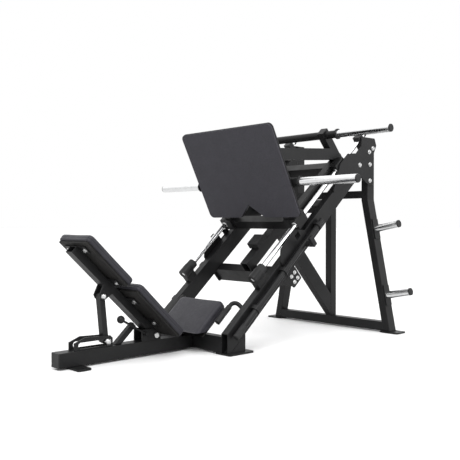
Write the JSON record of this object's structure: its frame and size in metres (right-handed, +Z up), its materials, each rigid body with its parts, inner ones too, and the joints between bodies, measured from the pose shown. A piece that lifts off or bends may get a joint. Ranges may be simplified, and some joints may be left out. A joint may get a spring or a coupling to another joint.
{
  "type": "leg press machine",
  "caption": "Plate-loaded leg press with a reclining back pad, an inclined sliding carriage, weight sleeves and storage pegs.",
  "frame": {"origin": "on the floor, under the middle of the machine's length and width", "axes": "+X from the seat end to the tall rear frame, +Y to the left of a seated user, +Z up"},
  "size_m": [2.256, 1.698, 1.3466],
  "materials": {
    "black_frame": "satin black powder coat on steel",
    "bright_chrome": "bright hard chrome",
    "zinc_steel": "bright zinc plate",
    "black_upholstery": "black leatherette with a fine grain",
    "black_rubber": "matt black rubber",
    "black_plastic": "moulded black plastic",
    "board": "black-stained plywood board"
  },
  "bodies": {
    "frame": {"seat_beam": "black_frame", "frame_caps": "black_plastic", "floor_feet": "black_frame", "front_cross_tube": "black_frame", "rail_left": "black_frame", "rail_right": "black_frame", "rear_posts": "black_frame", "rear_cross_bars": "black_frame", "rear_centre_post": "black_frame", "rail_cross_tubes": "black_frame", "spine_tube": "black_frame", "centre_brace": "black_frame", "guide_rods": "bright_chrome", "rod_holders": "black_frame", "rod_bumpers": "black_rubber", "rod_top_blocks": "black_frame", "gussets": "black_frame", "frame_bolts": "zinc_steel", "catch_plates": "black_frame", "rubber_stops": "black_rubber", "safety_bar_bearings": "black_frame", "hand_rails": "black_frame", "hand_grips": "black_rubber", "backrest_pivot_lugs": "black_frame", "backrest_pivot_pin": "zinc_steel", "strut_bracket": "black_frame", "recline_stop": "black_frame", "seat_pad": "black_upholstery", "seat_board": "board", "seat_post": "black_frame", "peg_flanges": "black_frame", "storage_pegs": "bright_chrome"},
    "carriage": {"carriage_tubes": "black_frame", "bearing_blocks": "black_frame", "linear_bushes": "zinc_steel", "carriage_cross_tubes": "black_frame", "carriage_caps": "black_plastic", "sleeve_arms": "black_frame", "sleeve_bars": "black_frame", "weight_sleeves": "bright_chrome", "foot_mat": "black_rubber", "foot_plate": "black_frame", "foot_plate_channels": "black_frame", "plate_supports": "black_frame"},
    "safety_lever_left": {"safety_bar_left": "black_frame", "safety_grip_left": "black_rubber"},
    "safety_lever_right": {"safety_bar_right": "black_frame", "safety_grip_right": "black_rubber"},
    "backrest": {"backrest_beam": "black_frame", "backrest_pad_bars": "black_frame", "backrest_bolts": "zinc_steel", "pad_boards": "board", "upper_back_pad": "black_upholstery", "lower_back_pad": "black_upholstery", "strut_top_pin": "zinc_steel"},
    "strut": {"backrest_strut": "black_frame", "strut_foot_pin": "zinc_steel"},
    "release": {"release_lever": "black_frame", "release_ball": "black_plastic"}
  },
  "joints": [
    {"name": "carriage_slide", "type": "slide", "parent": "frame", "child": "carriage", "axis": [0.7547, 0, 0.6561], "range_m": [-0.36, 0.168]},
    {"name": "safety_lever_left_turn", "type": "hinge", "parent": "frame", "child": "safety_lever_left", "pos_m": [0.24824, 0.362, 0.51531], "axis": [0.7547, 0, 0.6561], "range_deg": [0, 102]},
    {"name": "safety_lever_right_turn", "type": "hinge", "parent": "frame", "child": "safety_lever_right", "pos_m": [0.24824, -0.362, 0.51531], "axis": [-0.7547, 0, -0.6561], "range_deg": [0, 102]},
    {"name": "backrest_recline", "type": "hinge", "parent": "frame", "child": "backrest", "pos_m": [-0.52974, 0, 0.11097], "axis": [0, -1, 0], "range_deg": [0, 5]},
    {"name": "strut_pivot", "type": "hinge", "parent": "backrest", "child": "strut", "pos_m": [-0.86577, 0, 0.35017], "axis": [0, 1, 0], "range_deg": [0, 39]},
    {"name": "release_lever_pivot", "type": "hinge", "parent": "frame", "child": "release", "pos_m": [-0.606, -0.0475, 0.128], "axis": [0, 1, 0], "range_deg": [-8, 8]}
  ],
  "couplings": [
    {"joint": "strut_pivot", "follows": "backrest_recline", "ratio": 7.8}
  ]
}
